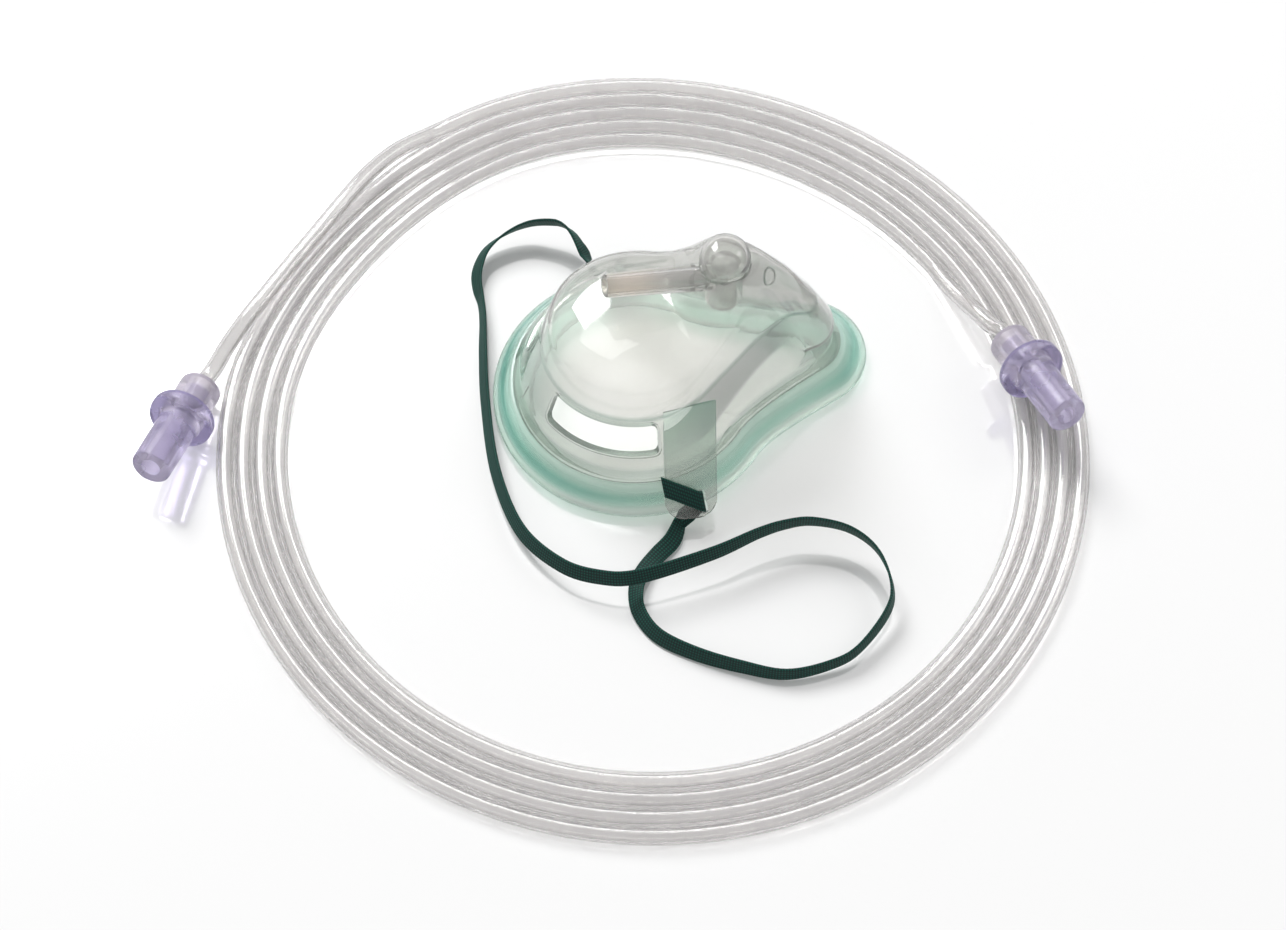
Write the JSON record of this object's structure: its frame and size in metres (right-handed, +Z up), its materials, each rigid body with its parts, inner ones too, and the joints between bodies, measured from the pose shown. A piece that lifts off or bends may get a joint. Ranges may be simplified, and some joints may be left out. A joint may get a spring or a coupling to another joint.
{
  "type": "oxygen face mask",
  "caption": "Clear face mask with a soft green seal, side ports, an elastic head strap and a coil of clear supply tube with lilac connectors.",
  "frame": {"origin": "middle of the mask's base, on the surface that it lies on", "axes": "+X from the chin to the nose of the mask, +Z up out of the mask, so -Y is the side with the strap's loop"},
  "size_m": [0.2618, 0.2473, 0.0645],
  "materials": {
    "clear_shell": "clear",
    "green_seal": "soft satin",
    "green_elastic": "woven",
    "clear_tube": "clear",
    "lilac_connector": "translucent"
  },
  "bodies": {
    "root": {"mask_shell": "clear_shell", "face_seal": "green_seal", "head_strap": "green_elastic", "tube_coil": "clear_tube", "tube_lead_left": "clear_tube", "tube_lead_right": "clear_tube", "tube_connector_left": "lilac_connector", "tube_connector_right": "lilac_connector"}
  },
  "joints": []
}
